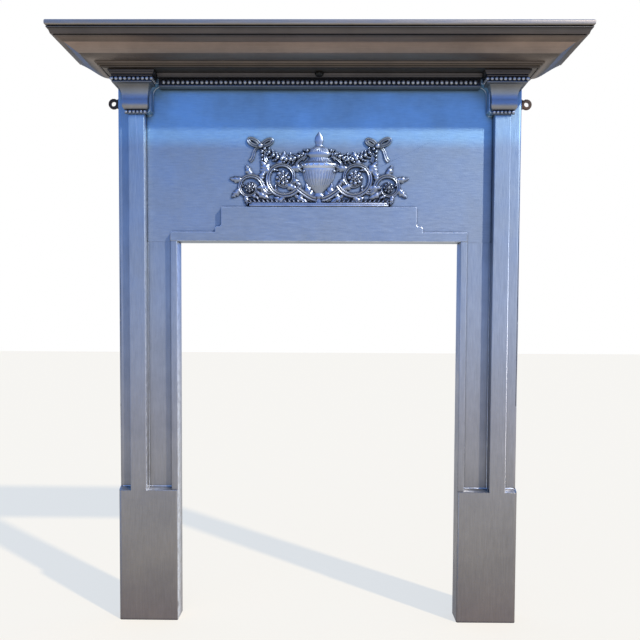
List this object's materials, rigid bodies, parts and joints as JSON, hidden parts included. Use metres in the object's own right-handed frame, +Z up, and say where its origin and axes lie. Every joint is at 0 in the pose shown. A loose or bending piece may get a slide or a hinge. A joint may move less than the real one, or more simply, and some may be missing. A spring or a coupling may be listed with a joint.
{
  "type": "fireplace surround",
  "caption": "Cast iron bedroom fireplace surround with pilasters, corbels, bead mouldings, hollow cornice, shelf and a relief of an urn between scrolls.",
  "frame": {"origin": "middle of the footprint's box, on the hearth", "axes": "+Z up, +X to the right of someone facing the fire, +Y towards the wall"},
  "size_m": [1.071, 0.1854, 1.2443],
  "materials": {
    "burnished_iron": "burnished and blackleaded casting, satin",
    "shelf_iron": "burnished and blackleaded casting, satin",
    "relief_iron": "burnished relief with dark hollows",
    "bolt_iron": "black iron fasteners"
  },
  "bodies": {
    "root": {"left_jamb": "burnished_iron", "right_jamb": "burnished_iron", "frieze_panel": "burnished_iron", "left_corbel": "burnished_iron", "right_corbel": "burnished_iron", "bed_moulding": "burnished_iron", "shelf_cornice": "shelf_iron", "mantel_shelf": "shelf_iron", "frieze_ornament": "relief_iron", "left_flange_bolt_1": "bolt_iron", "left_flange_nut_1": "bolt_iron", "left_flange_bolt_2": "bolt_iron", "left_flange_nut_2": "bolt_iron", "left_flange_bolt_3": "bolt_iron", "left_flange_nut_3": "bolt_iron", "left_lintel_bolt": "bolt_iron", "left_lintel_nut": "bolt_iron", "right_flange_bolt_1": "bolt_iron", "right_flange_nut_1": "bolt_iron", "right_flange_bolt_2": "bolt_iron", "right_flange_nut_2": "bolt_iron", "right_flange_bolt_3": "bolt_iron", "right_flange_nut_3": "bolt_iron", "right_lintel_bolt": "bolt_iron", "right_lintel_nut": "bolt_iron", "cornice_bolt_1": "bolt_iron", "cornice_nut_1": "bolt_iron", "cornice_bolt_2": "bolt_iron", "cornice_nut_2": "bolt_iron", "cornice_bolt_3": "bolt_iron", "cornice_nut_3": "bolt_iron", "cornice_bolt_4": "bolt_iron", "cornice_nut_4": "bolt_iron", "shelf_bolt_1": "bolt_iron", "shelf_bolt_2": "bolt_iron", "shelf_bolt_3": "bolt_iron", "bed_screw_1": "bolt_iron", "bed_screw_2": "bolt_iron", "left_corbel_screw_1": "bolt_iron", "left_corbel_screw_2": "bolt_iron", "right_corbel_screw_1": "bolt_iron", "right_corbel_screw_2": "bolt_iron", "ornament_screw_1": "bolt_iron", "ornament_screw_2": "bolt_iron", "ornament_screw_3": "bolt_iron"}
  },
  "joints": []
}
